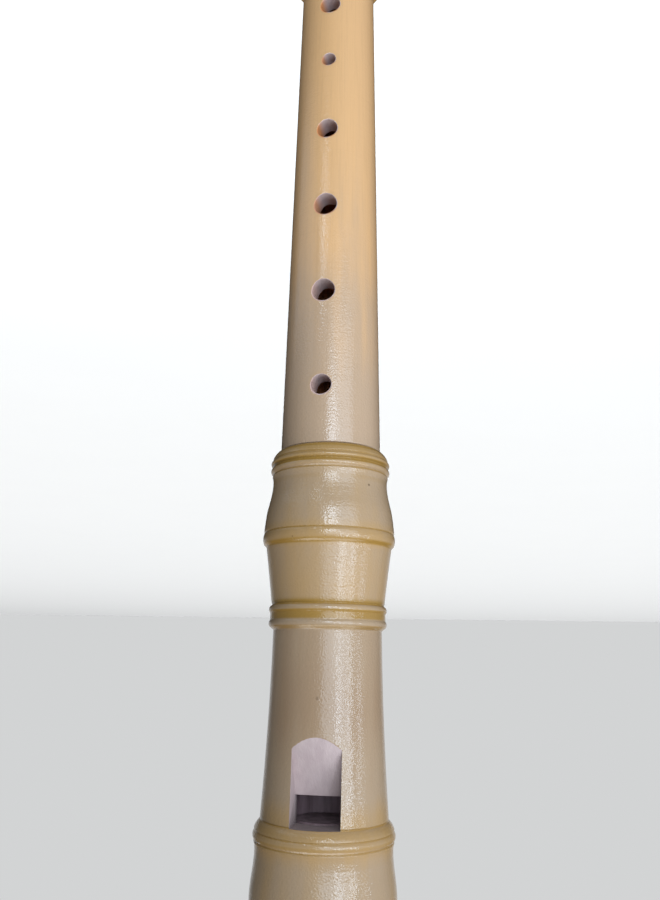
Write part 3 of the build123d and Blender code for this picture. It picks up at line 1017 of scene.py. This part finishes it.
class RECORDER_OT_wrap_corks(bpy.types.Operator):
    """Wrap the cork rings round the tenons"""

    bl_idname = "recorder.wrap_corks"
    bl_label = "Wrap Corks"

    def execute(self, context):
        _, look, _ = settings()
        material = cork("cork", look)
        for node in ("upper_tenon_cork", "lower_tenon_cork"):
            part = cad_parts[node]
            part.data.materials.clear()
            part.data.materials.append(material)
        return {"FINISHED"}


class RECORDER_OT_set_stage(bpy.types.Operator):
    """Set the floor, the lights and the camera"""

    bl_idname = "recorder.set_stage"
    bl_label = "Set Stage"

    def execute(self, context):
        _, _, stage = settings()
        scene = context.scene
        scene.view_settings.view_transform = "Standard"
        half = 6
        bottom = -20 * MM
        top = -0.5 * MM
        corners = ((-half, -half), (half, -half), (half, half), (-half, half))
        floor_mesh = lofted_mesh("floor", [[(x, y, z) for x, y in corners] for z in (bottom, top)])
        finish = Finish("pale floor")
        drift = finish.cloud((0.01, 0.01, 0.01), detail=3.0)
        white = finish.mix(drift, (0.93, 0.93, 0.93), (0.95, 0.95, 0.95))
        finish.set(Base_Color=white, Roughness=0.9)
        floor = placed("floor", floor_mesh, [finish.material])
        # The camera sees the floor, but it throws no light or shadow on the recorder
        floor.visible_diffuse = False
        floor.visible_glossy = False
        floor.visible_shadow = False
        scene.world = studio_world(stage)
        for name, *measures in LIGHTS:
            soft_light(name, stage, *measures)
        camera = bpy.data.objects.new("camera", bpy.data.cameras.new("camera"))
        scene.collection.objects.link(camera)
        place_camera(camera, stage)
        scene.camera = camera
        return {"FINISHED"}


def studio_world(stage):
    """A pale band behind the recorder, a wide soft light at the right and another overhead."""
    sky = Finish("studio", world=True)
    toward = sky.add("ShaderNodeTexCoord", output="Generated")
    up = sky.add("ShaderNodeSeparateXYZ", {}, {0: toward}, output="Z")

    def facing(turn):
        """1 straight towards a side of the studio, 0 square to it."""
        angle = stage.azimuth + turn
        return sky.add(
            "ShaderNodeVectorMath", {"operation": "DOT_PRODUCT"},
            {0: toward, 1: (-math.sin(angle), -math.cos(angle), 0)}, output="Value")

    # up is 1 overhead, 0 at the horizon and -1 underfoot
    band = (1 - sky.ease(up, 0.27, 0.42)) * (1 - sky.ease(0 - up, 0.06, 0.15))
    behind = sky.ease(facing(math.pi), 0.75, 0.91)
    light = band * (behind * stage.backdrop + stage.horizon) + stage.sky
    light = light + sky.ease(facing(stage.side_turn), 0.0, 1.0) * stage.side
    light = light + sky.ease(up, 0.8, 0.95) * stage.overhead
    colour = sky.add("ShaderNodeCombineColor", {}, {0: light * 0.98, 1: light * 0.995, 2: light})
    sky.set(Color=colour, Strength=1.0)
    return sky.material


def soft_light(name, stage, turn, distance, height, width, length, radiance):
    """A soft upright light round the recorder, facing its axis."""
    angle = stage.azimuth + math.radians(turn)
    back = Vector((-math.sin(angle), -math.cos(angle), 0))
    across = Vector((0, 0, 1)).cross(back)
    data = bpy.data.lights.new(name, "AREA")
    data.shape = "RECTANGLE"
    data.size = width
    data.size_y = length
    data.energy = radiance * math.pi * width * length
    data.color = stage.lamp_colour
    light = bpy.data.objects.new(name, data)
    light.visible_camera = False
    bpy.context.scene.collection.objects.link(light)
    place = back * distance + Vector((0, 0, height))
    axes = Matrix((across, (0, 0, 1), back)).transposed()
    light.matrix_world = Matrix.Translation(place) @ axes.to_4x4()


def place_camera(camera, stage):
    """Stands the camera before the head, looking down the body, with the foot at the view's top."""
    away = Vector((-math.sin(stage.azimuth), -math.cos(stage.azimuth), 0))
    place = away * stage.distance + Vector((0, 0, stage.height))
    foot = Vector((0, 0, -1))
    ahead = -away * math.cos(stage.tilt) + foot * math.sin(stage.tilt)
    up = foot * math.cos(stage.tilt) + away * math.sin(stage.tilt)
    right = ahead.cross(up)
    ahead, right = (
        ahead * math.cos(stage.swing) + right * math.sin(stage.swing),
        right * math.cos(stage.swing) - ahead * math.sin(stage.swing),
    )
    turned_right = right * math.cos(stage.roll) + up * math.sin(stage.roll)
    turned_up = up * math.cos(stage.roll) - right * math.sin(stage.roll)
    axes = Matrix((turned_right, turned_up, -ahead)).transposed()
    camera.matrix_world = Matrix.Translation(place) @ axes.to_4x4()
    camera.data.lens = stage.lens
    camera.data.sensor_width = 36.0
    camera.data.clip_start = 0.01
    camera.data.clip_end = 50.0


class RECORDER_PT_panel(bpy.types.Panel):
    """Lists the recorder's operators"""

    bl_label = "Recorder"
    bl_idname = "RECORDER_PT_panel"
    bl_space_type = "VIEW_3D"
    bl_region_type = "UI"
    bl_category = "Recorder"

    def draw(self, context):
        for step in STEPS:
            self.layout.operator(step.bl_idname)


STEPS = (
    RECORDER_OT_set_stage,
    RECORDER_OT_turn_head,
    RECORDER_OT_cut_block,
    RECORDER_OT_turn_middle,
    RECORDER_OT_turn_foot,
    RECORDER_OT_wrap_corks,
)
CLASSES = (RecorderWoodwork, RecorderFinish, RecorderStage, *STEPS, RECORDER_PT_panel)


def register():
    """Registers the classes and keeps their settings on the scene."""
    for each in CLASSES:
        bpy.utils.register_class(each)
    bpy.types.Scene.recorder_woodwork = bpy.props.PointerProperty(type=RecorderWoodwork)
    bpy.types.Scene.recorder_finish = bpy.props.PointerProperty(type=RecorderFinish)
    bpy.types.Scene.recorder_stage = bpy.props.PointerProperty(type=RecorderStage)


def unregister():
    """Takes the settings off the scene and unregisters the classes."""
    del bpy.types.Scene.recorder_stage
    del bpy.types.Scene.recorder_finish
    del bpy.types.Scene.recorder_woodwork
    for each in reversed(CLASSES):
        bpy.utils.unregister_class(each)


def main():
    """Builds the recorder and its stage."""
    register()
    for step in STEPS:
        group, name = step.bl_idname.split(".")
        getattr(getattr(bpy.ops, group), name)()


if __name__ == "__main__":
    main()
